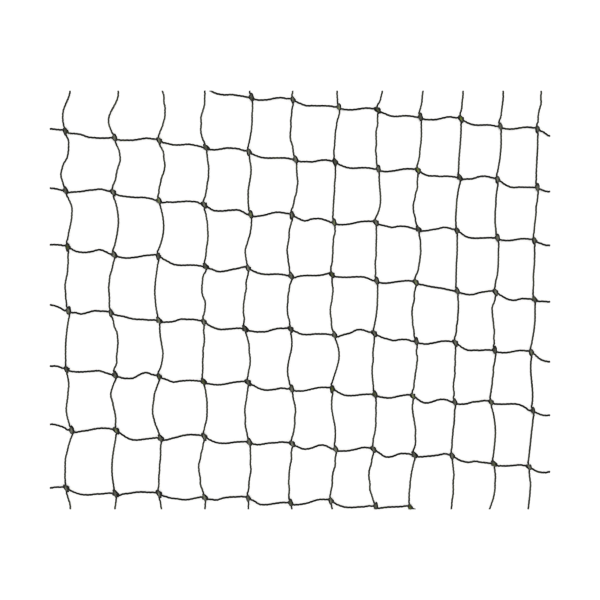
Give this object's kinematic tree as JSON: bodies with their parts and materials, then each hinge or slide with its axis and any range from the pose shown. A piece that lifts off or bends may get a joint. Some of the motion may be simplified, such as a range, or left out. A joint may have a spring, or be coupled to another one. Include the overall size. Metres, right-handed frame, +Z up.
{
  "type": "cat protection net",
  "caption": "Flat rectangular cut of knotted cat protection netting: dark olive twisted twines in slanting, wavy rows and columns of upright meshes, knotted at every corner.",
  "frame": {"origin": "middle of the panel's underside, on the surface that it lies on", "axes": "+X across the panel, along the rows of meshes; +Y up its height, along the columns; +Z up from the surface"},
  "size_m": [0.297, 0.2484, 0.0022],
  "materials": {
    "twine": "twisted polyethylene monofilament, dark olive, slightly waxy"
  },
  "bodies": {
    "root": {"twine_01": "twine", "twine_02": "twine", "twine_03": "twine", "twine_04": "twine", "twine_05": "twine", "twine_06": "twine", "twine_07": "twine", "twine_08": "twine", "twine_09": "twine", "twine_10": "twine", "twine_11": "twine", "twine_12": "twine", "twine_13": "twine", "twine_14": "twine", "twine_15": "twine", "twine_16": "twine", "twine_17": "twine", "twine_18": "twine", "twine_19": "twine", "twine_20": "twine"}
  },
  "joints": []
}
